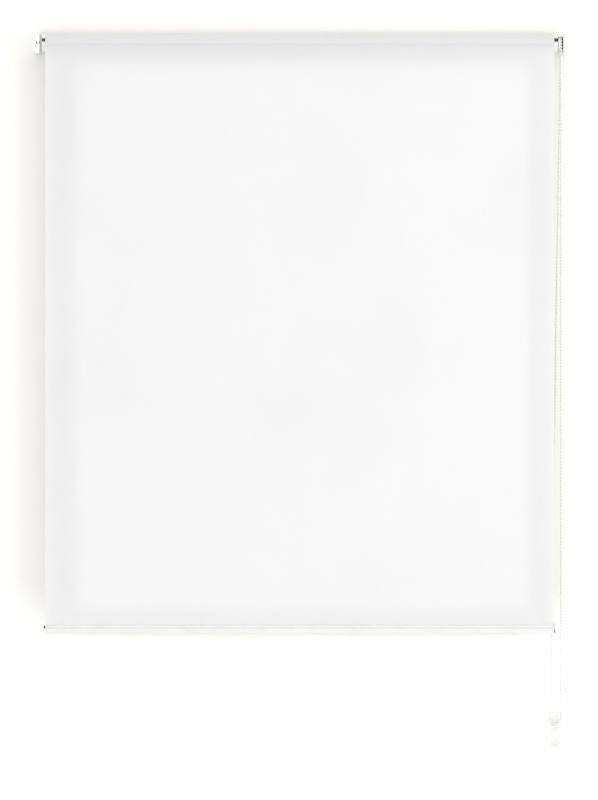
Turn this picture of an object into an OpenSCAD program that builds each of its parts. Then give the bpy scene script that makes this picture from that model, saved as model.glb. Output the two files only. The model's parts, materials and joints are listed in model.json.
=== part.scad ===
// Roller blind with a side chain, hung on two wall brackets.
// Frame: the wall is the plane y = 0, the room is on its -Y side, +Z is up and the
// roller axis runs along X at z = 0. The origin is on the wall, midway between the brackets.
// The blind is drawn fully lowered. The cloth falls off the front of the roll.

/* [Overall] */
// Width over both wall brackets
overall_w = 1000; // [600:1:2400]
// Roller axis to the lowest edge of the bottom bar, blind lowered
drop_h = 1109; // [400:1:2600]
// Wall to roller axis
wall_gap = 42; // [36:0.5:70]
// Roller axis to the centre of the lower chain bend
chain_drop = 1270.5; // [300:0.5:2800]

/* [Roller] */
// Outer diameter of the tube
tube_d = 38; // [34:0.5:50]
// Wall of the tube
tube_wall = 1.2; // [0.8:0.1:2]
// Bare tube showing beside the cloth, left
bare_left = 6.4; // [2:0.1:20]
// Bare tube showing beside the cloth, right
bare_right = 7.1; // [2:0.1:20]
// Thickness of the cloth
cloth_t = 0.35; // [0.2:0.01:0.6]
// Turns of cloth that stay on the tube
cloth_turns = 3; // [1:1:12]

/* [Brackets] */
// Thickness of the bracket steel
plate_t = 2; // [1.2:0.1:4]
// Bracket above the roller axis
bracket_up = 19; // [16:0.5:30]
// Bracket below the roller axis
bracket_down = 16; // [14:0.5:30]
// Side plate in front of the roller axis
plate_reach = 17; // [12:0.5:19]
// Width of the left wall flange, which turns outward
left_flange_w = 12; // [10:0.5:24]
// Width of the right wall flange, which turns inward
right_flange_w = 22; // [16:0.5:40]
// Radius of a wall screw hole
screw_r = 2.2; // [1.5:0.1:3]
// Height between the two screw holes of a bracket
screw_pitch = 24; // [16:0.5:24]
// Outer edge of the blind to the middle of a screw hole
screw_inset = 6.3; // [5.8:0.1:7]
// Wall of the left bracket cover
cover_wall = 1.4; // [1:0.1:2.5]

/* [Chain] */
// Diameter of a chain ball
ball_d = 4.5; // [3.5:0.1:4.6]
// Distance from ball to ball
ball_pitch = 6; // [5.6:0.1:8]
// Diameter of the thread through the balls
thread_d = 1.2; // [0.8:0.1:1.6]
// Pockets round the chain wheel
wheel_pockets = 18; // [16:2:24]
// Radius of the lower chain bend
bend_r = 10.3; // [9:0.1:14]

/* [Bottom bar] */
// Height of the bar
bar_h = 16; // [14:0.5:30]
// Depth of the bar, front to back
bar_d = 10; // [9:0.5:16]
// Wall of the bar
bar_wall = 1.2; // [0.8:0.1:1.6]
// Diameter of the rod that locks the hem in the bar
spline_d = 4; // [3:0.1:4.4]
// Thickness of an end cap's flange
cap_t = 2.8; // [1.5:0.1:5]

/* [Idle end] */
// Diameter of the spring pin
pin_d = 5; // [4:0.1:6]
// Travel of the spring pin
pin_travel = 6; // [4:0.5:8]
// Gap between the left bracket and the roller
idle_gap = 2; // [1:0.1:4]

/* [Chain holder] */
// Width of the holder below the bend
holder_w = 20; // [18:0.5:30]
// Chain bend centre to the bottom of the holder
holder_drop = 59.5; // [50:0.5:80]
// Depth of the holder, wall to front
holder_d = 14; // [13:0.5:20]

/* [Hidden] */
$fn = 64;

// clearances
run_fit = 0.08;
slip_fit = 0.1;
body_gap = 0.3;
eps = 0.02;

// roller stack, left to right
x_left = -overall_w / 2;
x_right = overall_w / 2;
axis_y = -wall_gap;
left_plate_x = x_left + left_flange_w;
flange_t = 0.6;
tube_x0 = left_plate_x + plate_t + idle_gap + flange_t;
right_plate_x = x_right - plate_t;
guard_wall = 1.2;
guard_x1 = right_plate_x - slip_fit;
guard_x0 = guard_x1 - guard_wall;
rim_t = 1;
wheel_w = ball_d + 2 * slip_fit + 2 * rim_t;
wheel_x1 = guard_x0 - body_gap;
wheel_x0 = wheel_x1 - wheel_w;
chain_x = wheel_x0 + wheel_w / 2;
crown_flange_t = 1.5;
crown_x1 = wheel_x0 - slip_fit;
crown_seam = 1;
tube_x1 = crown_x1 - crown_flange_t - crown_seam;
cloth_x0 = tube_x0 + bare_left;
cloth_x1 = tube_x1 - bare_right;
cloth_w = cloth_x1 - cloth_x0;

// roller sections
tube_r = tube_d / 2;
bore_r = tube_r - tube_wall;
key_h = 2.2;
key_w = 2.4;
key_step = 120;
tape_t = 0.15;
tape_angle = 30;
roll_r0 = tube_r + tape_t + 2 * eps;
roll_r = roll_r0 + cloth_t * cloth_turns;
fin_w = 2;
fin_r = bore_r - slip_fit;
fin_angle = asin((key_w / 2 + body_gap + fin_w / 2) / (bore_r - key_h / 2));
fin_spread = [-fin_angle, fin_angle, 38, 60, 82];

// chain wheel and clutch
wheel_pr = wheel_pockets * ball_pitch / (2 * PI);
wheel_r = wheel_pr + 1.4;
pocket_r = ball_d / 2 + slip_fit;
pocket_mouth_r = ball_d / 2 + body_gap;
post_r = 8;
wheel_hub_r = post_r + 2;
post_len = 44;
post_x0 = wheel_x1 - post_len;
post_end = 2.5;
clip_t = 1;
boss_w = 10;
wire_d = 1.2;
spring_turns = 8;
spring_gap = 2;
sleeve_r0 = post_r + wire_d + 4 * slip_fit;
sleeve_r1 = sleeve_r0 + 1.6;
sleeve_x0 = post_x0 + post_end;
spring_x0 = sleeve_x0 + 3;
crown_x0 = sleeve_x0 + 1;
crown_core_r = sleeve_r1 + 2.2;
crown_r = tube_r + 0.4;
guard_r0 = max(wheel_pr + ball_d / 2 + 1.3, crown_r + 1);
guard_r1 = guard_r0 + 1.5;
guard_lip = 2;
guard_front = 36;
guard_rear = 20;

// idle end
pin_r = pin_d / 2;
plug_grip = 34;
plug_len = plug_grip + pin_travel;
plug_x1 = tube_x0 + plug_len;
plug_core_r = pin_r + 6;
chamber_r = pin_r + 2.6;
chamber_x0 = tube_x0 + 10;
chamber_x1 = plug_x1 - 2;
collar_t = 2;
collar_x0 = chamber_x0 + slip_fit;
pin_tip = 1;
pin_x0 = left_plate_x - pin_tip;
pin_x1 = plug_x1 - 1;
pin_seat_r = pin_r + slip_fit;
coil_wire = 0.8;
coil_r = pin_r + 1.2;
coil_turns = 8;

// sheet and bottom bar
sheet_y = axis_y - roll_r - body_gap - cloth_t / 2;
bar_z0 = -drop_h;
bar_z1 = bar_z0 + bar_h;
spline_r = spline_d / 2;
groove_r = spline_r + cloth_t + 0.15;
bead_r = groove_r + 0.75;
groove_z = bar_z1 - bead_r;
bar_body_z1 = groove_z - 2.2;
bar_hollow_z1 = groove_z - groove_r - bar_wall;
mouth_w = cloth_t * 2 + 0.8;
sheet_z0 = bar_z1 - 0.5;
cap_over_top = 1.4;
cap_over_bottom = 0.4;
cap_plug = 12;
left_cap_gap = 0.2;
right_cap_gap = 1.2;
spline_out = 3;

// chain run: down the front strand, round the lower bend, up the rear strand
strand_lean = 1.3;
holder_x = chain_x + strand_lean - bend_r;
low_y = -holder_d / 2 - 0.5;
front_top = [chain_x, axis_y - wheel_pr, 0];
rear_top = [chain_x, axis_y + wheel_pr, 0];
front_low = [holder_x + bend_r, low_y, -chain_drop];
rear_low = [holder_x - bend_r, low_y, -chain_drop];
front_len = norm(front_low - front_top);
rear_len = norm(rear_low - rear_top);
bend_len = PI * bend_r;
run_len = front_len + bend_len + rear_len;
run_count = round(run_len / ball_pitch);
run_pitch = run_len / run_count;
front_count = floor(front_len / run_pitch);
rear_count = floor(rear_len / run_pitch);
front_cut = (front_count + 0.5) * run_pitch;
rear_cut = (rear_count + 0.5) * run_pitch;
thread_r = thread_d / 2;
ball_r = ball_d / 2;
connector_len = 2 * ball_pitch + 1;
connector_up = 60;

// chain holder
holder_back = 3;
holder_front = 2;
holder_hub_r = bend_r - ball_r - slip_fit;
holder_cheek_r = bend_r + ball_r + 1;
holder_wall = 2.4;
holder_hole_r = 2.1;
holder_boss_r = 4.4;
holder_hole_z = -chain_drop - 46;
holder_z0 = -chain_drop - holder_drop;
channel_top = -chain_drop - bend_r - ball_r - 2.5;

// ---------- helpers ----------

// children lie along +X from this x, centred on the roller axis
module on_axis(x) translate([x, axis_y, 0]) rotate([0, 90, 0]) children();

// a 2D outline in (y, z), grown towards +X from this x
module in_yz(x, len) translate([x, 0, 0]) rotate([90, 0, 90]) linear_extrude(len) children();

// a 2D outline in (x, z), grown from y0 towards the room by len
module in_xz(y0, len) translate([0, y0, 0]) rotate([90, 0, 0]) linear_extrude(len) children();

module ring(r0, r1, len) difference() {
  cylinder(r = r1, h = len);
  translate([0, 0, -1]) cylinder(r = r0, h = len + 2);
}

module along(p, q) {
  d = q - p;
  translate(p) rotate([0, acos(d.z / norm(d)), atan2(d.y, d.x)]) children();
}

// a rectangle with true round corners
module round_rect(x0, y0, x1, y1, r) {
  translate([x0 + r, y0]) square([x1 - x0 - 2 * r, y1 - y0]);
  translate([x0, y0 + r]) square([x1 - x0, y1 - y0 - 2 * r]);
  for (x = [x0 + r, x1 - r], y = [y0 + r, y1 - r]) translate([x, y]) circle(r);
}

// ---------- brackets ----------

module plate_outline() {
  front = axis_y - plate_reach;
  round_rect(front, -bracket_down, front + 16, bracket_up, 6);
  translate([front + 8, -bracket_down]) square([-front - 8, bracket_up + bracket_down]);
}

module screw_holes(x) {
  for (z = [-screw_pitch / 2, screw_pitch / 2])
    translate([x, 1, z]) rotate([90, 0, 0]) cylinder(r = screw_r, h = plate_t + 2);
}

module left_bracket() color("gainsboro") difference() {
  union() {
    in_yz(left_plate_x, plate_t) plate_outline();
    in_xz(0, plate_t) cover_outline(cover_wall + slip_fit);
  }
  screw_holes(x_left + screw_inset);
  on_axis(left_plate_x - 1) cylinder(r = pin_seat_r, h = plate_t + 2);
}

// outline of the cover seen from the room; inset shrinks it evenly
module cover_outline(inset) {
  x0 = x_left + inset;
  x1 = left_plate_x + (inset > 0 ? 1 : -slip_fit);
  z0 = -bracket_down - cover_wall + inset;
  z1 = bracket_up + cover_wall - inset;
  polygon([[x0, z0], [x1, z0], [x1, z1], [x0 + 7, z1], [x0 + 2.5, z1 - 1.8], [x0, z1 - 5.5]]);
}

module left_bracket_cover() color("white") difference() {
  front = axis_y - plate_reach - cover_wall - 1;
  tab_x0 = x_left + left_flange_w * 0.6;
  tab_x1 = left_plate_x - 1.2;
  tab_z = 0.5;
  tab_h = 4.8;
  slot = 1.8;
  hinge_slot = 0.35;
  in_xz(-slip_fit, -front - slip_fit) cover_outline(0);
  in_xz(1, -front + 1 - cover_wall) cover_outline(cover_wall);
  // slots round the snap tab
  for (x = [tab_x0 - slot, tab_x1])
    translate([x, front - 1, tab_z]) cube([slot, cover_wall + 2, tab_h]);
  translate([tab_x0 - slot, front - 1, tab_z - hinge_slot])
    cube([left_flange_w, cover_wall + 2, hinge_slot + eps]);
}

module right_bracket() color("gainsboro") difference() {
  union() {
    in_yz(right_plate_x, plate_t) plate_outline();
    translate([x_right - right_flange_w, -plate_t, -bracket_down])
      cube([right_flange_w - plate_t / 2, plate_t, bracket_up + bracket_down]);
  }
  screw_holes(x_right - screw_inset);
  translate([right_plate_x - 1, axis_y - boss_w / 2 - slip_fit, -boss_w / 2 - slip_fit])
    cube([plate_t + 2, boss_w + 2 * slip_fit, boss_w + 2 * slip_fit]);
}

// ---------- clutch and chain wheel ----------

module clutch_post() color("white") difference() {
  union() {
    on_axis(post_x0) cylinder(r = post_r, h = guard_x1 - post_x0);
    translate([guard_x1 - 1, axis_y - boss_w / 2, -boss_w / 2])
      cube([x_right - guard_x1 + 0.8, boss_w, boss_w]);
  }
  on_axis(post_x0 - 1) cylinder(r = 3, h = post_len + 10);
  on_axis(post_x0 + post_end - clip_t - 4 * eps) ring(post_r - 1.2, post_r + 1, clip_t + 2 * eps);
}

module clutch_clip() color("silver") on_axis(post_x0 + post_end - clip_t - 3 * eps) difference() {
  cylinder(r = sleeve_r0 + 1, h = clip_t);
  translate([0, 0, -1]) cylinder(r = post_r - 1.2 + eps, h = clip_t + 2);
  translate([0, -post_r + 2.4, -1]) cube([20, 2 * post_r - 4.8, clip_t + 2]);
}

module chain_guard() color("white") {
  difference() {
    on_axis(guard_x0) cylinder(r = guard_r1, h = guard_wall);
    on_axis(guard_x0 - 1) cylinder(r = post_r + slip_fit, h = guard_wall + 2);
  }
  on_axis(wheel_x0 - guard_lip) rotate([0, 0, -270 - guard_rear])
    rotate_extrude(angle = 180 + guard_rear - guard_front)
      translate([guard_r0, 0]) square([guard_r1 - guard_r0, guard_x1 - wheel_x0 + guard_lip]);
}

module chain_wheel() color("white") difference() {
  union() {
    on_axis(wheel_x0) cylinder(r = wheel_r, h = chain_x - wheel_x0);
    on_axis(wheel_x0) cylinder(r = wheel_hub_r, h = wheel_w);
    on_axis(sleeve_x0 + eps) cylinder(r = sleeve_r1, h = wheel_x0 - sleeve_x0);
  }
  on_axis(sleeve_x0 - 1) cylinder(r = sleeve_r0, h = wheel_x0 - sleeve_x0);
  on_axis(sleeve_x0 - 1) cylinder(r = post_r + run_fit, h = post_len + 2);
  // groove for the thread, then a pocket for each ball
  on_axis(chain_x - thread_r - 0.3) ring(wheel_pr - thread_r - 0.3, wheel_r + 1, thread_d + 0.6);
  on_axis(chain_x) for (k = [0 : wheel_pockets - 1])
    rotate([0, 0, -90 + k * 360 / wheel_pockets]) translate([wheel_pr, 0, 0]) {
      sphere(pocket_r);
      rotate([0, 90, 0]) cylinder(r = pocket_mouth_r, h = ball_d);
    }
}

// two closed coils of wire, each with a tang that the sleeve turns
module clutch_springs() color("silver") {
  coil_len = spring_turns * (wire_d + eps);
  for (x = [spring_x0, spring_x0 + coil_len + spring_gap], k = [0 : spring_turns - 1])
    on_axis(x + wire_d / 2 + k * (wire_d + eps)) rotate_extrude()
      translate([post_r + wire_d / 2 + 2 * slip_fit, 0]) circle(wire_d / 2);
}

// a sleeve whose fins grip the keys inside the tube
module finned_sleeve(core_r, x0, x1) {
  on_axis(x0) cylinder(r = core_r, h = x1 - x0);
  intersection() {
    on_axis(x0) cylinder(r = fin_r, h = x1 - x0);
    for (key = [0 : key_step : 359], a = fin_spread) on_axis(x0) rotate([0, 0, key + a])
      translate([core_r - 1, -fin_w / 2, 0]) cube([fin_r - core_r + 2, fin_w, x1 - x0]);
  }
}

module clutch_crown() color("whitesmoke") difference() {
  union() {
    finned_sleeve(crown_core_r, crown_x0, tube_x1 + eps);
    on_axis(tube_x1) cylinder(r = crown_core_r, h = crown_seam + eps);
    on_axis(crown_x1 - crown_flange_t) cylinder(r = crown_r, h = crown_flange_t);
  }
  on_axis(crown_x0 - 1) cylinder(r = sleeve_r1 + slip_fit, h = crown_x1 - crown_x0 + 2);
}

// ---------- roller ----------

module roller_tube() color("silver") difference() {
  on_axis(tube_x0) {
    ring(bore_r, tube_r, tube_x1 - tube_x0);
    for (key = [0 : key_step : 359]) rotate([0, 0, key])
      translate([bore_r - key_h, -key_w / 2, 0]) cube([key_h + tube_wall / 2, key_w, tube_x1 - tube_x0]);
  }
}

module fixing_tape() color("white") on_axis(cloth_x0 + 1)
  rotate([0, 0, 20]) rotate_extrude(angle = tape_angle)
    translate([tube_r + eps, 0]) square([tape_t, cloth_w - 2]);

module cloth_roll() color("white") on_axis(cloth_x0) ring(roll_r0, roll_r, cloth_w);

module idle_plug() color("whitesmoke") difference() {
  union() {
    finned_sleeve(plug_core_r, tube_x0 - eps, plug_x1);
    on_axis(tube_x0 - flange_t) cylinder(r = tube_r - 0.2, h = flange_t);
  }
  on_axis(tube_x0 - 5) cylinder(r = pin_r + run_fit, h = plug_len + 10);
  on_axis(chamber_x0) cylinder(r = chamber_r, h = chamber_x1 - chamber_x0);
}

module idle_pin() color("silver") {
  on_axis(pin_x0 + 1) cylinder(r = pin_r, h = pin_x1 - pin_x0 - 1);
  on_axis(pin_x0) cylinder(r1 = pin_r - 0.8, r2 = pin_r, h = 1, $fn = 48);
  on_axis(collar_x0) cylinder(r = chamber_r - body_gap, h = collar_t);
}

// a helix of round wire along +X
function coil_frame(a, len, turns) = [coil_r * cos(a), coil_r * sin(a), len * a / (360 * turns)];

function wire_ring(a, len, turns, sides) = [
  for (s = [0 : sides - 1])
    let (c = coil_frame(a, len, turns), u = coil_wire / 2 * cos(s * 360 / sides))
      [c.x + u * cos(a), c.y + u * sin(a), c.z + coil_wire / 2 * sin(s * 360 / sides)]
];

module wire_coil(len, turns, step, sides) {
  count = turns * 360 / step;
  points = [for (k = [0 : count]) each wire_ring(k * step, len, turns, sides)];
  walls = [
    for (k = [0 : count - 1], s = [0 : sides - 1])
      let (a = k * sides + s, b = k * sides + (s + 1) % sides)
        [a, a + sides, b + sides, b]
  ];
  first = [for (s = [0 : sides - 1]) s];
  last = [for (s = [sides - 1 : -1 : 0]) count * sides + s];
  polyhedron(points, concat(walls, [first, last]));
}

module idle_spring() color("silver") {
  x0 = collar_x0 + collar_t + coil_wire / 2 + slip_fit;
  x1 = chamber_x1 - coil_wire / 2 - slip_fit;
  on_axis(x0) wire_coil(x1 - x0, coil_turns, 30, 6);
}

// ---------- cloth and bottom bar ----------

module cloth_sheet() color("white")
  translate([cloth_x0, sheet_y - cloth_t / 2, sheet_z0]) cube([cloth_w, cloth_t, -sheet_z0]);

module cloth_hem() color("white") in_yz(cloth_x0, cloth_w) difference() {
  translate([sheet_y, groove_z]) circle(spline_r + eps + cloth_t);
  translate([sheet_y, groove_z]) circle(spline_r + eps);
  translate([sheet_y - mouth_w / 2, groove_z]) square([mouth_w, groove_r + 1]);
}

// a box section with a narrower bead on top, in which the hem is held
module bottom_bar() color("white") in_yz(cloth_x0, cloth_w) difference() {
  half = bar_d / 2;
  inner = half - bar_wall;
  union() {
    round_rect(sheet_y - half, bar_z0, sheet_y + half, bar_body_z1, 2.2);
    translate([sheet_y, groove_z]) circle(bead_r);
  }
  translate([sheet_y, groove_z]) circle(groove_r);
  translate([sheet_y - mouth_w / 2, groove_z]) square([mouth_w, bar_h]);
  round_rect(sheet_y - inner, bar_z0 + bar_wall, sheet_y + inner, bar_hollow_z1, 1);
}

module bar_spline() color("black") in_yz(cloth_x0 - spline_out, cloth_w + spline_out - 1)
  translate([sheet_y, groove_z]) circle(spline_r);

// the flange of an end cap, with the plug that holds it in the bar's hollow
module bar_cap(x, gap, side) difference() {
  half = bar_d / 2 - bar_wall - 0.2;
  union() {
    in_yz(side > 0 ? x + gap : x - gap - cap_t, cap_t)
      round_rect(
        sheet_y - bar_d / 2 - 0.4, bar_z0 - cap_over_bottom,
        sheet_y + bar_d / 2 + 0.4, bar_z1 + cap_over_top, 3);
    in_yz(side > 0 ? x - cap_plug : x - gap - eps, cap_plug + gap + eps)
      round_rect(sheet_y - half, bar_z0 + bar_wall + 0.2, sheet_y + half, bar_hollow_z1 - 0.2, 1.6);
  }
  // notch that shows the end of the spline
  if (side < 0) {
    on_axis_y = sheet_y - bar_d;
    translate([x - gap - cap_t - 1, on_axis_y, groove_z - spline_r - 0.3])
      cube([cap_t + gap + 1, bar_d + spline_r + 0.3, spline_d + 0.6]);
  }
}

module bar_cap_left() color("white") bar_cap(cloth_x0, left_cap_gap, -1);

module bar_cap_right() color("white") bar_cap(cloth_x1, right_cap_gap, 1);

// ---------- chain ----------

module chain_wheel_wrap() color("white") {
  on_axis(chain_x) {
    rotate([0, 0, 90]) rotate_extrude(angle = 180) translate([wheel_pr, 0]) circle(thread_r);
    for (k = [0 : wheel_pockets / 2])
      rotate([0, 0, 90 + k * 360 / wheel_pockets]) translate([wheel_pr, 0, 0]) sphere(ball_r);
  }
  along(front_top, front_low) cylinder(r = thread_r, h = run_pitch / 2 - eps);
  along(rear_top, rear_low) cylinder(r = thread_r, h = run_pitch / 2 - eps);
}

// a straight run of balls on their thread, from the first half pitch to the cut
module strand(top, low, count, cut, len) {
  end = min(cut, len) - eps;
  along(top, low) rotate_extrude() intersection() {
    union() {
      translate([0, run_pitch / 2]) square([thread_r, end - run_pitch / 2]);
      for (k = [1 : count]) translate([0, k * run_pitch]) circle(ball_r);
    }
    square([ball_r + 1, len + run_pitch]);
  }
}

module chain_front_strand() color("white") strand(front_top, front_low, front_count, front_cut, front_len);

module chain_rear_strand() color("white") strand(rear_top, rear_low, rear_count, rear_cut, rear_len);

// the balls between the two strands; s is measured round the bend from the front strand
module chain_lower_loop() color("white") {
  loop_count = run_count - front_count - rear_count - 1;
  s0 = max((front_count + 0.5) * run_pitch - front_len, 0) + eps;
  s1 = bend_len - max(rear_cut - rear_len, 0) - eps;
  translate([holder_x, low_y, -chain_drop]) rotate([-90, 0, 0]) {
    rotate([0, 0, s0 / bend_r * 180 / PI]) rotate_extrude(angle = (s1 - s0) / bend_r * 180 / PI)
      translate([bend_r, 0]) circle(thread_r);
    for (k = [1 : loop_count]) {
      s = (front_count + k) * run_pitch - front_len;
      if (s >= 0 && s <= bend_len)
        rotate([0, 0, s / bend_r * 180 / PI]) translate([bend_r, 0, 0]) sphere(ball_r);
    }
  }
}

module chain_connector() color("white") {
  up = front_len - connector_up;
  along(front_top, front_low) translate([0, 0, up - connector_len / 2]) rotate_extrude() polygon([
    [ball_r + slip_fit, 0], [ball_r + 0.5, 0], [ball_r + 0.9, 1.5],
    [ball_r + 0.9, connector_len - 1.5], [ball_r + 0.5, connector_len], [ball_r + slip_fit, connector_len]
  ]);
}

// ---------- chain holder ----------

module holder_outline() {
  translate([holder_x, -chain_drop]) circle(holder_cheek_r);
  round_rect(holder_x - holder_w / 2, holder_z0, holder_x + holder_w / 2, -chain_drop, 3);
}

module holder_body() color("aliceblue") difference() {
  depth = holder_d - holder_front - eps;
  union() {
    in_xz(0, holder_back) holder_outline();
    in_xz(0, depth) {
      translate([holder_x, -chain_drop]) circle(holder_hub_r);
      translate([holder_x, holder_hole_z]) circle(holder_boss_r);
      difference() {
        round_rect(holder_x - holder_w / 2, holder_z0, holder_x + holder_w / 2, channel_top, 3);
        translate([holder_x - holder_w / 2 + holder_wall, holder_z0 + holder_wall])
          square([holder_w - 2 * holder_wall, channel_top - holder_z0 - 2 * holder_wall]);
      }
    }
  }
  translate([holder_x, 1, holder_hole_z]) rotate([90, 0, 0]) cylinder(r = holder_hole_r, h = holder_d + 2);
}

module holder_cover() color("aliceblue") difference() {
  in_xz(-holder_d + holder_front, holder_front) holder_outline();
  translate([holder_x, 1, holder_hole_z]) rotate([90, 0, 0])
    cylinder(r = holder_hole_r + 0.5, h = holder_d + 2);
}

left_bracket();
left_bracket_cover();
right_bracket();
clutch_post();
clutch_clip();
chain_guard();
chain_wheel();
clutch_springs();
clutch_crown();
roller_tube();
fixing_tape();
cloth_roll();
idle_plug();
idle_pin();
idle_spring();
cloth_sheet();
cloth_hem();
bottom_bar();
bar_spline();
bar_cap_left();
bar_cap_right();
chain_wheel_wrap();
chain_front_strand();
chain_rear_strand();
chain_lower_loop();
chain_connector();
holder_body();
holder_cover();
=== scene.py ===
# %% [markdown]
# # A roller blind with a side chain
# The blind hangs on two wall brackets. An aluminium tube turns between them, translucent white
# cloth falls off the front of the roll into a bottom bar, and an endless ball chain at the right
# end drives the tube. The mechanical model is already there as a fixed frame in metres: the wall
# is the plane y = 0, the room lies towards -Y, +Z is up and the roller axis runs along X at z = 0.
# This lesson dresses that frame: cloth, chain and soft edges are built here as new meshes, and
# the machined parts keep their shape and get a better finish.

# %% Load the frame
import json
import math

import bmesh
import bpy
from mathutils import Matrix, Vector, noise


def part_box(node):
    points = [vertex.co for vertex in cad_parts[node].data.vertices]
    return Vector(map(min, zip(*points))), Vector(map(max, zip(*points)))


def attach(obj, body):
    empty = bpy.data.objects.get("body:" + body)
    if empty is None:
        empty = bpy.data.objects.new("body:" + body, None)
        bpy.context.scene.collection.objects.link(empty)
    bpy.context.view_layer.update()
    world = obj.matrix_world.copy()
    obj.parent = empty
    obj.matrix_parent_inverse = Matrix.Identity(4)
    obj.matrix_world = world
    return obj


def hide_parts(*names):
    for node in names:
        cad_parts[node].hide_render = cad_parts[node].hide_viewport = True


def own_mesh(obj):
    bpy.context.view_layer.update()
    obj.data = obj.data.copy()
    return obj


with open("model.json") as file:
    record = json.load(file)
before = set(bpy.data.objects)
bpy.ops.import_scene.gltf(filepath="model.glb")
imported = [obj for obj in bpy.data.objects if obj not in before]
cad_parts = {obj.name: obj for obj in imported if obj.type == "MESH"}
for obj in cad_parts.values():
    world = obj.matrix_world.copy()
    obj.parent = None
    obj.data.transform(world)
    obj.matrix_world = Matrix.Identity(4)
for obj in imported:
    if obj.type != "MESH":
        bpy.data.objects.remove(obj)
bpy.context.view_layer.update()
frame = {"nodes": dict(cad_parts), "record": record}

# %% [markdown]
# The few sizes given here are those that the frame's boxes don't show, such as the cloth's
# thickness and the balls' pitch. All others are worked out from the frame's own pieces, so
# nothing has to be fitted: the bend of the chain, for example, is read off the clear holder
# whose round cheek it follows.

# %% Sizes read from the frame
MM = 0.001
CLOTH_T = 0.35 * MM
BALL_R = 2.25 * MM
BALL_PITCH = 6 * MM
WHEEL_POCKETS = 18
CHEEK_MARGIN = 1 * MM
HUB_MARGIN = 1 * MM
HOLDER_BACK = 3 * MM
HOLDER_FRONT = 2 * MM
CAP_FLANGE = 2.8 * MM
SEAM_SLACK = 0.05 * MM

sheet_low, sheet_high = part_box("cloth_sheet")
roll_low, roll_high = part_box("cloth_roll")
tube_low, tube_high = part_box("roller_tube")
holder_low, holder_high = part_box("holder_body")
holder_front_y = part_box("holder_cover")[0][1]
wrap_low, wrap_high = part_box("chain_wheel_wrap")
cap_end_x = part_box("bar_cap_right")[1][0]

axis_y = (tube_low[1] + tube_high[1]) / 2
roll_r = (roll_high[2] - roll_low[2]) / 2
cloth_x0, cloth_x1 = sheet_low[0], sheet_high[0]
cloth_w = cloth_x1 - cloth_x0
sheet_y = (sheet_low[1] + sheet_high[1]) / 2
cap_seam_x = cap_end_x - CAP_FLANGE + SEAM_SLACK
print("cloth", round(cloth_w, 4), "wide, roll radius", round(roll_r, 5))

# %% [markdown]
# ## Mesh helpers
# A piece is made from lists of points and faces. `loft` joins rings of equal length into a skin,
# which covers most of what follows: the cloth, the roll and the balls are all skins of that kind.
# `dress` gives a piece its finishes, the first of them on every face.

# %% Helpers for meshes
SHARP_ANGLE = math.radians(40)


def make_piece(name, points, faces, smooth=True):
    mesh = bpy.data.meshes.new(name)
    mesh.from_pydata([tuple(p) for p in points], [], faces)
    mesh.validate()
    piece = bpy.data.objects.new(name, mesh)
    bpy.context.scene.collection.objects.link(piece)
    mesh.polygons.foreach_set("use_smooth", [smooth] * len(mesh.polygons))
    if smooth:
        mesh.set_sharp_from_angle(angle=SHARP_ANGLE)
    return piece


def loft(rings, capped=True):
    count = len(rings[0])
    points = [p for ring in rings for p in ring]
    faces = [
        (r * count + k, r * count + (k + 1) % count, (r + 1) * count + (k + 1) % count, (r + 1) * count + k)
        for r in range(len(rings) - 1)
        for k in range(count)
    ]
    if capped:
        faces.append(tuple(range(count - 1, -1, -1)))
        faces.append(tuple((len(rings) - 1) * count + k for k in range(count)))
    return points, faces


def outward(piece):
    mesh = bmesh.new()
    mesh.from_mesh(piece.data)
    bmesh.ops.recalc_face_normals(mesh, faces=mesh.faces)
    mesh.to_mesh(piece.data)
    mesh.free()
    piece.data.set_sharp_from_angle(angle=SHARP_ANGLE)
    return piece


def dress(piece, *finishes):
    piece.data.materials.clear()
    for material in finishes:
        piece.data.materials.append(material)


# %% [markdown]
# A moulded or coated part never has a razor edge. `soft_edges` copies a node's mesh, joins the
# triangles of each flat face, and bevels what is sharp, so that edges catch the light. The copy
# stands for the node and rides on the same body.

# %% Soft edges on a machined part
WELD = 0.004 * MM
FLAT_ANGLE = math.radians(1)


def body_with(node):
    bodies = frame["record"]["behaviour"]["bodies"]
    return next(body for body, nodes in bodies.items() if node in nodes)


def soft_edges(node, name, width, segments=2, angle=35):
    source = frame["nodes"][node]
    piece = bpy.data.objects.new(name, source.data.copy())
    piece.data.name = name
    bpy.context.scene.collection.objects.link(piece)
    mesh = bmesh.new()
    mesh.from_mesh(piece.data)
    bmesh.ops.remove_doubles(mesh, verts=mesh.verts, dist=WELD)
    bmesh.ops.dissolve_limit(mesh, angle_limit=FLAT_ANGLE, verts=mesh.verts, edges=mesh.edges)
    mesh.to_mesh(piece.data)
    mesh.free()
    bevel = piece.modifiers.new("soft_edges", "BEVEL")
    bevel.width = width
    bevel.segments = segments
    bevel.limit_method = "ANGLE"
    bevel.angle_limit = math.radians(angle)
    bevel.use_clamp_overlap = True
    bevel.harden_normals = False
    piece.data.polygons.foreach_set("use_smooth", [True] * len(piece.data.polygons))
    weighted = piece.modifiers.new("flat_faces", "WEIGHTED_NORMAL")
    weighted.keep_sharp = True
    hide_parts(node)
    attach(piece, body_with(node))
    return piece


# %% [markdown]
# ## Finishes
# Each finish is a small node tree around one shader. Patterns read the piece's own coordinates in
# metres, so a scale of 1000 means one cell per millimetre. Most of a noise lies near its middle,
# so only that stretch of it is spread over a colour or a roughness.

# %% Helpers for finishes
GLOSS_STRETCH = (0.3, 0.7)
TINT_STRETCH = (0.35, 0.65)


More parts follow.
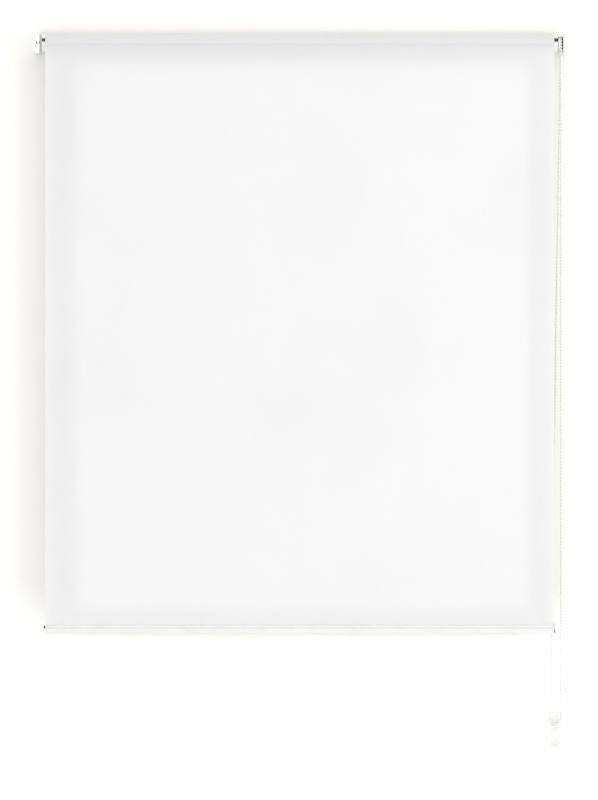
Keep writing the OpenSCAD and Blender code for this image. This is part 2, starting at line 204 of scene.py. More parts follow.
def finish(name, colour, roughness, metallic=0.0):
    material = bpy.data.materials.new(name)
    material.use_nodes = True
    shader = material.node_tree.nodes["Principled BSDF"]
    shader.inputs["Base Color"].default_value = (*colour, 1)
    shader.inputs["Roughness"].default_value = roughness
    shader.inputs["Metallic"].default_value = metallic
    return material, shader


def place(material, stretch=(1, 1, 1)):
    nodes, links = material.node_tree.nodes, material.node_tree.links
    coordinates = nodes.new("ShaderNodeTexCoord")
    mapping = nodes.new("ShaderNodeMapping")
    mapping.inputs["Scale"].default_value = stretch
    links.new(coordinates.outputs["Object"], mapping.inputs["Vector"])
    return mapping.outputs["Vector"]


def grain(material, vector, scale, detail=3.0):
    pattern = material.node_tree.nodes.new("ShaderNodeTexNoise")
    pattern.inputs["Scale"].default_value = scale
    pattern.inputs["Detail"].default_value = detail
    material.node_tree.links.new(vector, pattern.inputs["Vector"])
    return pattern.outputs["Fac"]


def vary(material, value, low, high, socket):
    spread = material.node_tree.nodes.new("ShaderNodeMapRange")
    spread.inputs["From Min"].default_value, spread.inputs["From Max"].default_value = GLOSS_STRETCH
    spread.inputs["To Min"].default_value = low
    spread.inputs["To Max"].default_value = high
    material.node_tree.links.new(value, spread.inputs["Value"])
    material.node_tree.links.new(spread.outputs["Result"], socket)


def tint(material, value, dark, light, socket):
    ramp = material.node_tree.nodes.new("ShaderNodeValToRGB")
    for element, position, colour in zip(ramp.color_ramp.elements, TINT_STRETCH, (dark, light)):
        element.position = position
        element.color = (*colour, 1)
    material.node_tree.links.new(value, ramp.inputs["Fac"])
    material.node_tree.links.new(ramp.outputs["Color"], socket)


def relief(material, value, strength, depth, shader):
    bump = material.node_tree.nodes.new("ShaderNodeBump")
    bump.inputs["Strength"].default_value = strength
    bump.inputs["Distance"].default_value = depth
    material.node_tree.links.new(value, bump.inputs["Height"])
    material.node_tree.links.new(bump.outputs["Normal"], shader.inputs["Normal"])


# %% [markdown]
# The covers, caps, clutch and chain are white moulded plastic. The mould leaves a very fine grain
# and the colour drifts by a percent or two where the plastic flowed.

# %% White moulded plastic
FLOW_MARKS, MOULD_GLOSS, MOULD_GRAIN = 60, 400, 2500
GRAIN_STRENGTH = 0.25


def moulded(name, dark, light, rough_low, rough_high, grain_depth):
    material, shader = finish(name, light, rough_low)
    where = place(material)
    tint(material, grain(material, where, FLOW_MARKS), dark, light, shader.inputs["Base Color"])
    vary(material, grain(material, where, MOULD_GLOSS), rough_low, rough_high, shader.inputs["Roughness"])
    relief(material, grain(material, where, MOULD_GRAIN, 2), GRAIN_STRENGTH, grain_depth, shader)
    return material


gloss_white = moulded("gloss_white", (0.85, 0.85, 0.84), (0.885, 0.885, 0.88), 0.22, 0.34, 0.008 * MM)
nylon_white = moulded("nylon_white", (0.84, 0.84, 0.82), (0.88, 0.88, 0.865), 0.42, 0.55, 0.03 * MM)
bead_white = moulded("bead_white", (0.79, 0.79, 0.785), (0.835, 0.835, 0.83), 0.2, 0.3, 0.01 * MM)
# the black rod's finish, also used as painted shade on the cap's plug and the wheel's hub
black_rod_and_painted_shade = moulded("black_rod_and_painted_shade", (0.012, 0.012, 0.013), (0.02, 0.02, 0.02), 0.45, 0.6, 0.02 * MM)
tape_cream = moulded("tape_cream", (0.78, 0.76, 0.68), (0.84, 0.82, 0.75), 0.5, 0.65, 0.01 * MM)
print("plastics", [m.name for m in (gloss_white, nylon_white, bead_white, black_rod_and_painted_shade, tape_cream)])

# %% [markdown]
# The brackets and the bottom bar are powder coated: a satin white with the faint orange-peel
# surface that the powder leaves when it melts. The brackets' coat is drawn greyer than the bar's:
# painted shade for the side-lit edge of the bracket plate.

# %% Powder coat
COAT_SHADE, COAT_GLOSS, ORANGE_PEEL = 35, 700, 1300
PEEL_STRENGTH, PEEL_DEPTH = 0.35, 0.05 * MM
SATIN = (0.36, 0.48)


def powder_coat(name, dark, light):
    material, shader = finish(name, light, SATIN[0])
    where = place(material)
    tint(material, grain(material, where, COAT_SHADE), dark, light, shader.inputs["Base Color"])
    vary(material, grain(material, where, COAT_GLOSS), *SATIN, shader.inputs["Roughness"])
    relief(material, grain(material, where, ORANGE_PEEL, 1), PEEL_STRENGTH, PEEL_DEPTH, shader)
    return material


# painted shade: the brackets' coat is greyer, for the side-lit edge of the plate
bracket_coat = powder_coat("bracket_coat", (0.68, 0.68, 0.67), (0.73, 0.73, 0.72))
bar_coat = powder_coat("bar_coat", (0.755, 0.755, 0.76), (0.785, 0.785, 0.79))
print("coats", bracket_coat.name, bar_coat.name)

# %% [markdown]
# The tube is extruded aluminium, left bare. Extruding draws fine lines along its length, so the
# grain is stretched along X: it is some four hundred times finer across the tube than along it.

# %% Bare aluminium and spring steel
METAL_SHADE, LINE_DETAIL, LINE_STRENGTH = 25, 4, 0.3


def drawn_metal(name, dark, light, rough_low, rough_high, stretch, depth):
    material, shader = finish(name, light, rough_low, metallic=1.0)
    along = place(material, stretch)
    tint(material, grain(material, place(material), METAL_SHADE), dark, light, shader.inputs["Base Color"])
    vary(material, grain(material, along, 1, LINE_DETAIL), rough_low, rough_high, shader.inputs["Roughness"])
    relief(material, grain(material, along, 1, LINE_DETAIL), LINE_STRENGTH, depth, shader)
    return material


tube_metal = drawn_metal(
    "tube_metal", (0.76, 0.77, 0.78), (0.84, 0.85, 0.86), 0.16, 0.26, (6, 2600, 2600), 0.006 * MM
)
steel_wire = drawn_metal(
    "steel_wire", (0.5, 0.5, 0.51), (0.62, 0.62, 0.63), 0.22, 0.36, (1500, 900, 900), 0.004 * MM
)
print("metals", tube_metal.name, steel_wire.name)

# %% [markdown]
# The chain holder is clear polycarbonate: most light passes straight through, and only its
# glossy skin and its faint moulded waviness show. It is drawn as a thin, mostly see-through skin,
# because the two small mouldings are too close together for bent light to look clean. Its
# rounded rims are drawn denser and grey: painted shade for the bent light that one sees where
# one looks along the plastic instead of through it.

# %% Clear polycarbonate
POLYCARBONATE_IOR = 1.58
POLISH, POLISH_PATCHES = (0.05, 0.14), 300
RIPPLE, RIPPLE_STRENGTH, RIPPLE_DEPTH = 140, 0.2, 0.05 * MM


def clear_moulding(name, shade, density):
    material, shader = finish(name, (shade, shade, shade), POLISH[0])
    shader.inputs["Alpha"].default_value = density
    shader.inputs["IOR"].default_value = POLYCARBONATE_IOR
    where = place(material)
    vary(material, grain(material, where, POLISH_PATCHES), *POLISH, shader.inputs["Roughness"])
    relief(material, grain(material, where, RIPPLE, 1), RIPPLE_STRENGTH, RIPPLE_DEPTH, shader)
    return material


clear_plastic = clear_moulding("clear_plastic", 0.95, 0.03)
# painted shade: the rim finish is grey and denser, for the bent light seen along the plastic
clear_rim_painted_shade = clear_moulding("clear_rim_painted_shade", 0.55, 0.22)
print("clear finishes", clear_plastic.name, clear_rim_painted_shade.name)

# %% [markdown]
# The cloth is a fine plain weave. Two sets of bands at right angles, one thread pitch apart, give
# its threads, and multiplied they give the weave. A band texture's phase runs on by 20 for each
# unit of scale and metre, which sets the scale for a given pitch.

# %% Weave of the cloth
THREAD_PITCH = 0.55 * MM
BAND_PHASE = 20
THREAD_WANDER = 0.6


def threads(material, vector, direction):
    wave = material.node_tree.nodes.new("ShaderNodeTexWave")
    wave.wave_type = "BANDS"
    wave.bands_direction = direction
    wave.inputs["Scale"].default_value = 2 * math.pi / THREAD_PITCH / BAND_PHASE
    wave.inputs["Distortion"].default_value = THREAD_WANDER
    wave.inputs["Detail"].default_value = 1.0
    material.node_tree.links.new(vector, wave.inputs["Vector"])
    return wave.outputs["Fac"]


def weave_of(material, vector):
    weave = material.node_tree.nodes.new("ShaderNodeMath")
    weave.operation = "MULTIPLY"
    for socket, direction in zip(weave.inputs, "XZ"):
        material.node_tree.links.new(threads(material, vector, direction), socket)
    return weave.outputs["Value"]


# %% [markdown]
# The cloth lets light through. Its surface shader carries the weave as relief, with slubs where a
# thread runs thick and a slow drift of colour, and a translucent shader shows the light behind.
# On the roll there is always another layer underneath, so less light comes through there. That
# copy of the cloth is also painted darker: painted shade on the roll, the lead-in and the hem.

# %% Translucent cloth
CLOTH_GLOSS = (0.7, 0.86)
SLUB_STRETCH, SLUB_WEIGHT = (900, 900, 25), 0.35
DRIFT = 3.5
WEAVE_STRENGTH, WEAVE_DEPTH = 0.3, 0.08 * MM


def woven(name, dark, light, through):
    material, shader = finish(name, light, CLOTH_GLOSS[0])
    nodes, links = material.node_tree.nodes, material.node_tree.links
    shader.inputs["Sheen Weight"].default_value = 0.15
    shader.inputs["Sheen Roughness"].default_value = 0.4
    shader.inputs["Specular IOR Level"].default_value = 0.25
    where = place(material)
    slub = grain(material, place(material, SLUB_STRETCH), 1, 2)
    drift = grain(material, where, DRIFT, 2)
    both = nodes.new("ShaderNodeMath")
    both.operation = "MULTIPLY_ADD"
    both.inputs[1].default_value = SLUB_WEIGHT
    links.new(slub, both.inputs[0])
    links.new(drift, both.inputs[2])
    tint(material, both.outputs["Value"], dark, light, shader.inputs["Base Color"])
    vary(material, slub, *CLOTH_GLOSS, shader.inputs["Roughness"])
    relief(material, weave_of(material, where), WEAVE_STRENGTH, WEAVE_DEPTH, shader)
    behind = nodes.new("ShaderNodeBsdfTranslucent")
    behind.inputs["Color"].default_value = (*light, 1)
    mix = nodes.new("ShaderNodeMixShader")
    mix.inputs["Fac"].default_value = through
    links.new(shader.outputs["BSDF"], mix.inputs[1])
    links.new(behind.outputs["BSDF"], mix.inputs[2])
    links.new(mix.outputs["Shader"], nodes["Material Output"].inputs["Surface"])
    return material


blind_cloth = woven("blind_cloth", (0.895, 0.895, 0.901), (0.925, 0.925, 0.931), 0.42)
# painted shade: the cloth on the roll, the lead-in and the hem is drawn darker than the hanging cloth
layered_cloth_painted_shade = woven("layered_cloth_painted_shade", (0.735, 0.729, 0.737), (0.765, 0.759, 0.767), 0.12)
print("cloths", blind_cloth.name, layered_cloth_painted_shade.name)

# %% [markdown]
# ## The hanging cloth
# On the real blind the cloth is cut square, hangs from the roll and is held straight by the bar.
# It is nearly flat, but never quite: long shallow waves run down it, the cut edges curl back, and
# both die out where the roll and the bar hold it. A grid of points moved by those rules gives
# that directly; a cloth simulation would spend minutes to end at the same still shape.

# %% Hanging cloth
COLUMNS, ROWS = 150, 110
EDGE_CURL = 1.2 * MM
CURL_WIDTH = 14 * MM
WAVE_DEPTH = 0.55 * MM
HOLD_SHAPE = 0.6
# share of the depth, waves across and down in one metre, seed
WAVES = [(1.0, 7.0, 0.9, 0.3), (0.4, 17.0, 1.6, 2.1)]
sheet_drop = -sheet_low[2]
column_x = [cloth_x0 + cloth_w * c / COLUMNS for c in range(COLUMNS + 1)]


def cloth_push(x, z):
    """How far the cloth stands behind its plane: not at all where the roll and the bar hold it."""
    down = -z / sheet_drop
    hold = math.sin(math.pi * min(max(down, 0), 1)) ** HOLD_SHAPE
    wave = sum(
        share * noise.noise(Vector((x * across, seed, z * fall)))
        for share, across, fall, seed in WAVES
    )
    inset = min(x - cloth_x0, cloth_x1 - x) / CURL_WIDTH
    curl = EDGE_CURL * max(0, 1 - inset) ** 2
    return hold * (WAVE_DEPTH * wave + curl)


def cloth_grid(offset):
    return [
        [(x, sheet_y + offset + cloth_push(x, z), z) for x in column_x]
        for z in (-sheet_drop * r / ROWS for r in range(ROWS + 1))
    ]


def two_sided(front, back):
    """Join two open grids of the same size into one closed thin skin."""
    rows, columns = len(front), len(front[0])
    rings = [f + b[::-1] for f, b in zip(front, back)]
    points, faces = loft(rings, capped=False)
    width = 2 * columns
    for start in (0, (rows - 1) * width):
        end = start + width - 1
        faces += [(start + k, start + k + 1, end - k - 1, end - k) for k in range(columns - 1)]
    return points, faces


cloth_skin = two_sided(cloth_grid(-CLOTH_T / 2), cloth_grid(CLOTH_T / 2))
hanging_cloth = outward(make_piece("hanging_cloth", *cloth_skin))
dress(hanging_cloth, blind_cloth)
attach(hanging_cloth, "wall_frame")
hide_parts("cloth_sheet")
print("hanging cloth", len(hanging_cloth.data.polygons), "faces")

# %% [markdown]
# ## The cloth on the roll
# Three turns of cloth stay on the tube. Seen from the end they are a spiral, each turn one cloth
# thickness further out, so the roll is a spiral outline drawn out along X. The turns lie a hair
# apart, so that no two faces fall in one place.

# %% Cloth on the roll
TURNS = 3
STEPS_PER_TURN = 72
ROLL_GAP = 0.01 * MM


def around_axis(x, radius, angle):
    """A point at this angle from the front of the roll, going up and over."""
    return (x, axis_y - radius * math.cos(angle), radius * math.sin(angle))


def spiral(x, outside):
    steps = TURNS * STEPS_PER_TURN
    start_r = roll_r - TURNS * CLOTH_T + (CLOTH_T - ROLL_GAP if outside else 0)
    growth = CLOTH_T * (TURNS - 1) / steps
    return [around_axis(x, start_r + growth * k, -2 * math.pi * k / STEPS_PER_TURN) for k in range(steps + 1)]


roll_x = (cloth_x0, cloth_x0 + cloth_w / 2, cloth_x1)
roll_skin = two_sided([spiral(x, True) for x in roll_x], [spiral(x, False) for x in roll_x])
rolled_cloth = outward(make_piece("rolled_cloth", *roll_skin))
# painted shade: the roll takes the darker copy of the cloth
dress(rolled_cloth, layered_cloth_painted_shade)
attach(rolled_cloth, "roller")
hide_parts("cloth_roll")
print("rolled cloth", TURNS, "turns,", len(rolled_cloth.data.polygons), "faces")

# %% [markdown]
# Where the cloth leaves the roll it has to stay put while the roll turns under it. A short
# lead-in follows the roll from behind its top down to the front, and thins out at its far edge.

# %% Lead-in over the roll
LEAD_ANGLE = math.radians(150)
LEAD_STEPS = 60
LEAD_GAP = 0.04 * MM
LEAD_TAPER = math.radians(20)
LEAD_EDGE = 0.05
lead_r = axis_y - sheet_y - CLOTH_T / 2


def lead_row(angle, outside):
    thin = min(1, (LEAD_ANGLE - angle) / LEAD_TAPER + LEAD_EDGE)
    radius = roll_r + LEAD_GAP + (lead_r - roll_r - LEAD_GAP) * thin + (CLOTH_T * thin if outside else 0)
    return [around_axis(x, radius, angle) for x in column_x]


angles = [LEAD_ANGLE * k / LEAD_STEPS for k in range(LEAD_STEPS + 1)]
lead_skin = two_sided([lead_row(a, True) for a in angles], [lead_row(a, False) for a in angles])
lead_in = outward(make_piece("cloth_lead_in", *lead_skin))
# painted shade: the lead-in takes the darker copy of the cloth
dress(lead_in, layered_cloth_painted_shade)
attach(lead_in, "wall_frame")
print("lead-in", round(LEAD_ANGLE * lead_r, 4), "long")

# %% [markdown]
# The lower end of the cloth goes through the bar's slot, round the black rod and back up to the
# slot, which locks it. In section that is an open loop one cloth thick, drawn out along X.

# %% Hem round the rod
HEM_STEPS = 40
HEM_GAP = 0.02 * MM
MOUTH_HALF = math.radians(22)
RUFFLE, RUFFLE_PITCH, RUFFLE_SEED = 0.03 * MM, 0.9, (5.2, 0.4)
rod_low, rod_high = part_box("bar_spline")
rod_r = (rod_high[2] - rod_low[2]) / 2
rod_z = (rod_high[2] + rod_low[2]) / 2


def hem_ring(x, radius):
    sweep = 2 * (math.pi - MOUTH_HALF)
    return [
        (x, sheet_y + radius * math.sin(a), rod_z + radius * math.cos(a))
        for a in (MOUTH_HALF + sweep * k / HEM_STEPS for k in range(HEM_STEPS + 1))
    ]


def hem_ruffle(c):
    return RUFFLE * noise.noise(Vector((c * RUFFLE_PITCH, *RUFFLE_SEED)))


hem_outer = [hem_ring(x, rod_r + CLOTH_T - HEM_GAP + hem_ruffle(c)) for c, x in enumerate(column_x)]
hem_inner = [hem_ring(x, rod_r + HEM_GAP) for x in column_x]
hem = outward(make_piece("folded_hem", *two_sided(hem_outer, hem_inner)))
# painted shade: the hem takes the darker copy of the cloth
dress(hem, layered_cloth_painted_shade)
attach(hem, "bar")
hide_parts("cloth_hem")
print("hem", round(2 * (math.pi - MOUTH_HALF) * rod_r, 4), "round the rod")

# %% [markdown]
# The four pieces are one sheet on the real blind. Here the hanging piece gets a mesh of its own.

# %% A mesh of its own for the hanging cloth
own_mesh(hanging_cloth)

# %% [markdown]
# ## The ball chain
# The chain is one endless string of moulded balls. It goes over the wheel, down to the holder,
# round its hub and back up. The balls sit one pitch apart along that whole way, so one function
# gives the point at any distance along it and a loop drops a ball at each step.

# %% Route of the chain
THREAD_R = 0.6 * MM
wheel_pr = WHEEL_POCKETS * BALL_PITCH / (2 * math.pi)
chain_x = (wrap_low[0] + wrap_high[0]) / 2
cheek_r = (holder_high[0] - holder_low[0]) / 2
bend_r = cheek_r - CHEEK_MARGIN - BALL_R
holder_x = (holder_high[0] + holder_low[0]) / 2
bend_z = holder_high[2] - cheek_r
low_y = (holder_front_y + HOLDER_FRONT - HOLDER_BACK) / 2
front_top = Vector((chain_x, axis_y - wheel_pr, 0))
rear_top = Vector((chain_x, axis_y + wheel_pr, 0))
front_low = Vector((holder_x + bend_r, low_y, bend_z))
rear_low = Vector((holder_x - bend_r, low_y, bend_z))
front_len = (front_low - front_top).length
rear_len = (rear_low - rear_top).length
bend_len = math.pi * bend_r
run_len = front_len + bend_len + rear_len
run_count = round(run_len / BALL_PITCH)
wrap_len = math.pi * wheel_pr


def chain_point(s):
    """The chain's centre s metres from the front of the wheel: down, round the holder, up, over."""
    s = s % (run_len + wrap_len)
    if s <= front_len:
        return front_top.lerp(front_low, s / front_len)
    s -= front_len
    if s <= bend_len:
        a = s / bend_r
        return Vector((holder_x + bend_r * math.cos(a), low_y, bend_z - bend_r * math.sin(a)))
    s -= bend_len
    if s <= rear_len:
        return rear_low.lerp(rear_top, s / rear_len)
    a = math.pi - (s - rear_len) / wheel_pr
    return Vector(around_axis(chain_x, wheel_pr, a))


run_balls = [run_len * k / run_count for k in range(run_count + 1)]
wrap_balls = [run_len + wrap_len * k / (WHEEL_POCKETS // 2) for k in range(1, WHEEL_POCKETS // 2)]
print("chain", round(run_len + wrap_len, 4), "long,", len(run_balls + wrap_balls), "balls")

# %% [markdown]
# A ball is not quite a sphere: the mould leaves a small collar where the thread comes out. So its
# outline is an arc from one collar to the other, with the thread's radius at both ends, and it is
# turned round the chain's direction. The side of each ring is square to a fixed vector that the
# chain never runs along, so no ring is twisted against the next.

# %% Outline of a ball
BALL_SIDES, BALL_RINGS = 14, 6
COLLAR_R = THREAD_R * 1.5
COLLAR_END = BALL_R * 1.02
ACROSS_CHAIN = Vector((0.31, 0.9, 0.27))

collar_angle = math.asin(COLLAR_R / BALL_R)
ball_angles = [collar_angle + (math.pi - 2 * collar_angle) * k / BALL_RINGS for k in range(BALL_RINGS + 1)]
ball_arc = [(-BALL_R * math.cos(a), BALL_R * math.sin(a)) for a in ball_angles]
ball_outline = [(-COLLAR_END, THREAD_R), *ball_arc, (COLLAR_END, THREAD_R)]


def ring_at(centre, direction, radius, sides):
    side = direction.cross(ACROSS_CHAIN).normalized()
    up = direction.cross(side)
    return [
        centre + radius * (side * math.cos(2 * math.pi * k / sides) + up * math.sin(2 * math.pi * k / sides))
        for k in range(sides)
    ]


print("ball outline", len(ball_outline), "points")

# %% [markdown]
# The thread runs from just inside one ball to just inside the next. Balls and thread go into one
# mesh, because on the real chain they are moulded together.

# %% Balls and thread
THREAD_SIDES, THREAD_STEPS = 8, 3
THREAD_START = BALL_R * 0.9
PROBE = 0.2 * MM


def chain_direction(s):
    return (chain_point(s + PROBE) - chain_point(s - PROBE)).normalized()


def ball_rings(s):
    centre, along = chain_point(s), chain_direction(s)
    return [ring_at(centre + along * t, along, r, BALL_SIDES) for t, r in ball_outline]


def thread_rings(s, after):
    start, end = s + THREAD_START, after - THREAD_START
    stops = [start + (end - start) * k / THREAD_STEPS for k in range(THREAD_STEPS + 1)]
    return [ring_at(chain_point(t), chain_direction(t), THREAD_R, THREAD_SIDES) for t in stops]


def add_skin(points, faces, rings):
    more_points, more_faces = loft(rings)
    start = len(points)
    points += more_points
    faces += [tuple(start + k for k in face) for face in more_faces]


chain_points, chain_faces = [], []
ball_places = run_balls + wrap_balls
for s, after in zip(ball_places, ball_places[1:] + [run_len + wrap_len]):
    add_skin(chain_points, chain_faces, ball_rings(s))
    add_skin(chain_points, chain_faces, thread_rings(s, after))
ball_chain = outward(make_piece("ball_chain", chain_points, chain_faces))
dress(ball_chain, bead_white)
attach(ball_chain, "wall_frame")
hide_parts("chain_wheel_wrap", "chain_front_strand", "chain_rear_strand", "chain_lower_loop")
print("chain mesh", len(ball_chain.data.polygons), "faces")

# %% [markdown]
# ## Moulded and coated parts
# These keep the frame's shape. Each gets a bevel that fits how it was made: wide on moulded
# covers, narrow on sheet steel. On the clear holder the bevel itself takes the rim's grey finish,
# which is painted shade.

# %% Soft-edged parts
SOFT_PARTS = {
    "left_bracket": ("left_bracket_coated", 0.25 * MM, bracket_coat),
    "right_bracket": ("right_bracket_coated", 0.25 * MM, bracket_coat),
    "left_bracket_cover": ("left_cover_moulded", 0.5 * MM, gloss_white),
    "chain_guard": ("chain_guard_moulded", 0.4 * MM, gloss_white),
    "bottom_bar": ("bottom_bar_coated", 0.2 * MM, bar_coat),
    "bar_cap_left": ("bar_cap_left_moulded", 0.5 * MM, gloss_white),
    "bar_cap_right": ("bar_cap_right_moulded", 0.5 * MM, gloss_white),
    "holder_body": ("holder_body_clear", 0.4 * MM, clear_plastic, clear_rim_painted_shade),
    "holder_cover": ("holder_cover_clear", 0.4 * MM, clear_plastic, clear_rim_painted_shade),
    "chain_connector": ("chain_connector_moulded", 0.2 * MM, bead_white),
}
for node, (name, width, *finishes) in SOFT_PARTS.items():
    piece = soft_edges(node, name, width)
    dress(piece, *finishes)
    if clear_rim_painted_shade in finishes:
        # painted shade: the bevel takes the grey rim finish
        piece.modifiers["soft_edges"].material = 1
print("soft-edged parts", len(SOFT_PARTS))

# %% [markdown]
# Behind the holder's front plate stand the walls of its body. Their end faces get the rim's grey
# finish too, painted shade, so that the outline of the clear moulding can be seen against a white wall.

# %% Rim of the clear holder
RIM_DEPTH = 0.5 * MM
FACES_ROOM = -0.9
holder_shell = bpy.data.objects["holder_body_clear"]
rim_y = holder_low[1] + RIM_DEPTH
rim_faces = [
    face for face in holder_shell.data.polygons
    if face.normal.y < FACES_ROOM and all(holder_shell.data.vertices[v].co.y < rim_y for v in face.vertices)
]
# painted shade: these faces take the grey rim finish
for face in rim_faces:
    face.material_index = 1
print("rim faces", len(rim_faces))

# %% [markdown]
# Two of the mouldings get painted shade in black. The right end cap's plug is black, a painted
# shadow for the gap beside the bar's end, and the chain wheel's hub is black, painted shade in
# the gaps between the balls.

# %% Painted shade on the end cap and the wheel
WHEEL_EDGE = 0.1 * MM
hub_r = wheel_pr - BALL_R - HUB_MARGIN


def paint_shade_black(piece, measure, limit):
    """Give the black finish, painted shade, to the faces whose corners all measure less than the limit."""
    for face in piece.data.polygons:
        if max(measure(piece.data.vertices[v].co) for v in face.vertices) < limit:
            face.material_index = 1
    print("black faces", sum(face.material_index for face in piece.data.polygons), "on", piece.name)


right_cap = bpy.data.objects["bar_cap_right_moulded"]
# painted shade: the plug beside the bar's end is black, for the shadow in the gap
dress(right_cap, gloss_white, black_rod_and_painted_shade)
paint_shade_black(right_cap, lambda corner: corner.x, cap_seam_x)
wheel = soft_edges("chain_wheel", "chain_wheel_moulded", WHEEL_EDGE)
# painted shade: the wheel's hub is black, for the shade in the gaps between the balls
dress(wheel, nylon_white, black_rod_and_painted_shade)
paint_shade_black(wheel, lambda corner: math.hypot(corner.y - axis_y, corner.z), hub_r)

# %% [markdown]
# The spring behind the idle pin is wound again here, with closed end turns, and gets a mesh of
# its own. On the real blind it is pressed together when the pin is pushed in, while its far end
# stays against the plug.

# %% Idle spring
COIL_TURNS = 8
WIRE_R = 0.4 * MM
END_PITCH = 1.1 * MM
TURN_STEPS, WIRE_SIDES = 24, 10
coil_low, coil_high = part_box("idle_spring")
coil_r = (coil_high[2] - coil_low[2]) / 2 - WIRE_R
coil_len = coil_high[0] - coil_low[0] - 2 * WIRE_R
open_pitch = (coil_len - 2 * END_PITCH) / (COIL_TURNS - 2)


def coil_point(turn):
    """The wire's centre after this many turns from the pin's collar."""
    along = END_PITCH * min(turn, 1) + open_pitch * min(max(turn - 1, 0), COIL_TURNS - 2)
    along += END_PITCH * max(turn - COIL_TURNS + 1, 0)
    return Vector(around_axis(coil_low[0] + WIRE_R + along, coil_r, 2 * math.pi * turn))


def wire_ring(turn):
    centre = coil_point(turn)
    outwards = (centre - Vector((centre.x, axis_y, 0))).normalized()
    return [
        centre + WIRE_R * (outwards * math.cos(a) + Vector((1, 0, 0)) * math.sin(a))
        for a in (2 * math.pi * n / WIRE_SIDES for n in range(WIRE_SIDES))
    ]


wire_rings = [wire_ring(k / TURN_STEPS) for k in range(COIL_TURNS * TURN_STEPS + 1)]
spring = outward(make_piece("idle_spring_wound", *loft(wire_rings)))
dress(spring, steel_wire)
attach(spring, "roller")
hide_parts("idle_spring")
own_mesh(spring)

# %% [markdown]
# ## Parts that stay as they are
# What sits inside the tube and the clutch, and the tube itself, keep the frame's own mesh: their
# edges are turned or hidden, so a bevel would not be seen. They only get a finish.

# %% Parts that keep their mesh
KEPT_PARTS = {
    "clutch_post": nylon_white, "clutch_crown": nylon_white,
    "idle_plug": nylon_white, "clutch_clip": steel_wire, "clutch_springs": steel_wire,
    "idle_pin": steel_wire, "roller_tube": tube_metal,
    "fixing_tape": tape_cream, "bar_spline": black_rod_and_painted_shade,
}
for node, material in KEPT_PARTS.items():
    dress(frame["nodes"][node], material)
print("kept parts", len(KEPT_PARTS))

# %% [markdown]
# ## Surfaces of the stage
# Wall, window and floor are matt surfaces, some of which glow. The wall glows very slightly, more
# so towards the floor, which stands for light thrown back by a pale room. Each surface shows its
# face to the room only, so the blind can also be looked at from behind: a transparent shader
# takes over on the back.

# %% Surfaces of the stage
LIFT_Z = (-1.0, -1.13)
MATT, MATT_SHINE = 0.9, 0.1


def stage_material(name, colour, glow=0.0, low_glow=None):
    """A matt stage surface; low_glow is its glow below LIFT_Z when that differs."""
    material = bpy.data.materials.new(name)
    material.use_nodes = True
    nodes, links = material.node_tree.nodes, material.node_tree.links
    shader = nodes["Principled BSDF"]
    shader.inputs["Base Color"].default_value = (*colour, 1)
    shader.inputs["Roughness"].default_value = MATT
    shader.inputs["Specular IOR Level"].default_value = MATT_SHINE
    if glow:
        shader.inputs["Emission Color"].default_value = (1, 1, 1, 1)
        shader.inputs["Emission Strength"].default_value = glow
    if low_glow is not None:
        height = nodes.new("ShaderNodeSeparateXYZ")
        lift = nodes.new("ShaderNodeMapRange")
        lift.interpolation_type = "SMOOTHSTEP"
        lift.inputs["From Min"].default_value, lift.inputs["From Max"].default_value = LIFT_Z
        lift.inputs["To Min"].default_value = glow
        lift.inputs["To Max"].default_value = low_glow
        links.new(place(material), height.inputs["Vector"])
        links.new(height.outputs["Z"], lift.inputs["Value"])
        links.new(lift.outputs["Result"], shader.inputs["Emission Strength"])
    hidden = nodes.new("ShaderNodeBsdfTransparent")
    side = nodes.new("ShaderNodeNewGeometry")
    mix = nodes.new("ShaderNodeMixShader")
    links.new(side.outputs["Backfacing"], mix.inputs["Fac"])
    links.new(shader.outputs["BSDF"], mix.inputs[1])
    links.new(hidden.outputs["BSDF"], mix.inputs[2])
    links.new(mix.outputs["Shader"], nodes["Material Output"].inputs["Surface"])
    return material


# %% [markdown]
# ## Wall, window and floor
# The blind hangs over a window. A glowing panel just behind the cloth stands for the daylight:
# the nearer it is, the crisper the bright rectangle on the cloth. Dimmer strips beside and below
# it stand for the window's white reveal, and end a little inside the cloth's edges. The wall
# stands a hair behind the brackets, so that no two faces fall in one place.

# %% Wall, window and floor
WINDOW = (-0.419, 0.432, -1.067, -0.036)
REVEAL_INSET, REVEAL_Z = 0.004, -1.090
WINDOW_GLOW, REVEAL_GLOW, WALL_GLOW, LOW_WALL_GLOW = 0.42, 0.22, 0.05, 0.18
WINDOW_Y = sheet_y + 0.006
WALL = (-4.0, 4.0, -1.62, 3.0)
WALL_Y = 0.0002
FLOOR_DEPTH = 8
PANE_GREY = (0.8, 0.8, 0.8)


def upright(name, boxes, y, material):
    """Flat rectangles in a plane of constant y, facing the room."""
    points, faces = [], []
    for x0, x1, z0, z1 in boxes:
        start = len(points)
        points += [(x0, y, z0), (x1, y, z0), (x1, y, z1), (x0, y, z1)]
        faces.append((start, start + 1, start + 2, start + 3))
    piece = make_piece(name, points, faces, smooth=False)
    dress(piece, material)


left, right, bottom, top = WINDOW
reveal_left, reveal_right = cloth_x0 + REVEAL_INSET, cloth_x1 - REVEAL_INSET
REVEAL = [
    (reveal_left, left, bottom, top), (right, reveal_right, bottom, top),
    (reveal_left, reveal_right, REVEAL_Z, bottom),
]
upright("wall", [WALL], WALL_Y, stage_material("wall_white", (0.9, 0.893, 0.862), WALL_GLOW, LOW_WALL_GLOW))
upright("daylight", [WINDOW], WINDOW_Y, stage_material("daylight_glow", PANE_GREY, WINDOW_GLOW))
upright("reveal", REVEAL, WINDOW_Y, stage_material("reveal_glow", PANE_GREY, REVEAL_GLOW))

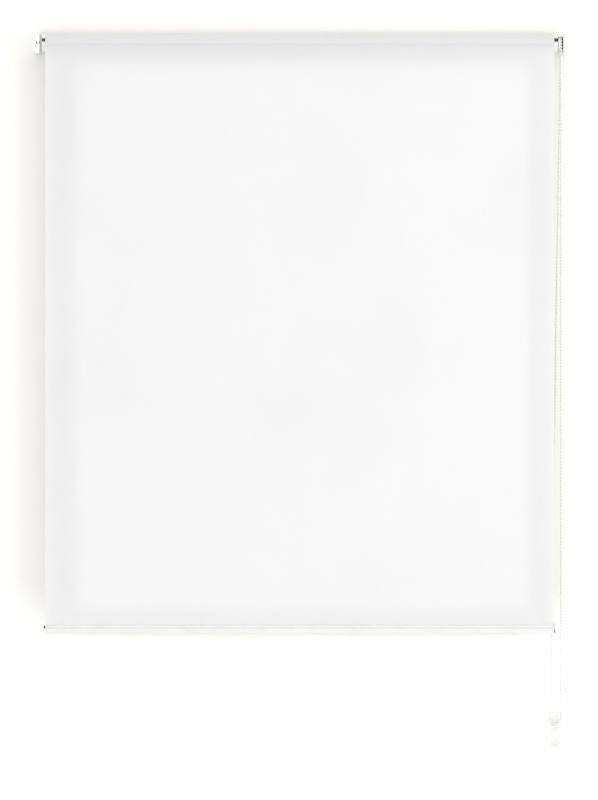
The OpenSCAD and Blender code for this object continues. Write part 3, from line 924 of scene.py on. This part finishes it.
wall_left, wall_right, floor_z = WALL[:3]
floor_corners = [
    (wall_left, 0, floor_z), (wall_left, -FLOOR_DEPTH, floor_z),
    (wall_right, -FLOOR_DEPTH, floor_z), (wall_right, 0, floor_z),
]
floor = make_piece("floor", floor_corners, [(0, 1, 2, 3)], smooth=False)
dress(floor, stage_material("floor_white", (0.9, 0.9, 0.9)))
print("window", round(right - left, 3), "wide,", round(WINDOW_Y - sheet_y, 3), "behind the cloth")

# %% [markdown]
# ## Light
# The room is lit softly from all round by a pale sky. One wide, low lamp from the right, level
# with the middle of the cloth, throws the blind's shadow on the wall to its left.

# %% Sky and lamp
SKY_STRENGTH, SKY_COLOUR = 1.12, (1.0, 0.998, 0.992, 1)
KEY_WIDTH, KEY_HEIGHT, KEY_POWER = 2.6, 0.4, 55
KEY_Z = -0.55
KEY_PLACE = (4.4, -4.4, KEY_Z)

world = bpy.data.worlds.new("studio")
bpy.context.scene.world = world
world.use_nodes = True
sky = world.node_tree.nodes["Background"]
sky.inputs["Strength"].default_value = SKY_STRENGTH
sky.inputs["Color"].default_value = SKY_COLOUR

key_lamp = bpy.data.lights.new("key", "AREA")
key_lamp.shape = "RECTANGLE"
key_lamp.size, key_lamp.size_y = KEY_WIDTH, KEY_HEIGHT
key_lamp.energy = KEY_POWER
key = bpy.data.objects.new("key", key_lamp)
bpy.context.scene.collection.objects.link(key)
key.location = KEY_PLACE
key.rotation_euler = (Vector((0, 0, KEY_Z)) - key.location).to_track_quat("-Z", "Y").to_euler()
print("lamp", KEY_POWER, "W,", round(math.dist(KEY_PLACE, (0, 0, KEY_Z)), 2), "from the wall's middle")

# %% [markdown]
# A dark beam under the ceiling gives the bare aluminium its dark band: polished metal shows what
# stands round it, so it needs something to show. The beam is seen by reflections only, so it
# neither darkens the cloth nor comes into view.

# %% Dark beam
BEAM_DISTANCE, BEAM_REACH = 2.0, 0.9
BEAM_LOW, BEAM_HIGH = math.radians(27), math.radians(70)
beam_corners = [
    (-BEAM_REACH, BEAM_LOW), (-BEAM_REACH, BEAM_HIGH), (BEAM_REACH, BEAM_HIGH), (BEAM_REACH, BEAM_LOW),
]
beam_points = [around_axis(x, BEAM_DISTANCE, angle) for x, angle in beam_corners]
beam = make_piece("ceiling_beam", beam_points, [(0, 1, 2, 3)], smooth=False)
dress(beam, stage_material("beam_dark", (0.01, 0.01, 0.01)))
beam.visible_camera = False
beam.visible_diffuse = False
beam.visible_shadow = False
print("beam", 2 * BEAM_REACH, "long,", BEAM_DISTANCE, "from the roller")

# %% [markdown]
# ## Camera
# The camera stands level and square to the wall, sixteen metres out and about half way down the
# blind and its chain. Its lens is very long, so the blind shows hardly any perspective.

# %% Camera
CAMERA_AWAY = 16.0
CAMERA_Z = -0.6697
VIEW_HEIGHT = 1.504
SENSOR = 36.0
SIGHT = 50
lens = bpy.data.cameras.new("camera")
lens.sensor_width = SENSOR
lens.lens = SENSOR * CAMERA_AWAY / VIEW_HEIGHT
lens.clip_end = SIGHT
camera = bpy.data.objects.new("camera", lens)
bpy.context.scene.collection.objects.link(camera)
camera.location = (0, sheet_y - CAMERA_AWAY, CAMERA_Z)
camera.rotation_euler = (math.radians(90), 0, 0)
bpy.context.scene.camera = camera
bpy.context.scene.view_settings.view_transform = "Standard"
print("lens", round(lens.lens, 1), "mm at", CAMERA_AWAY, "m")
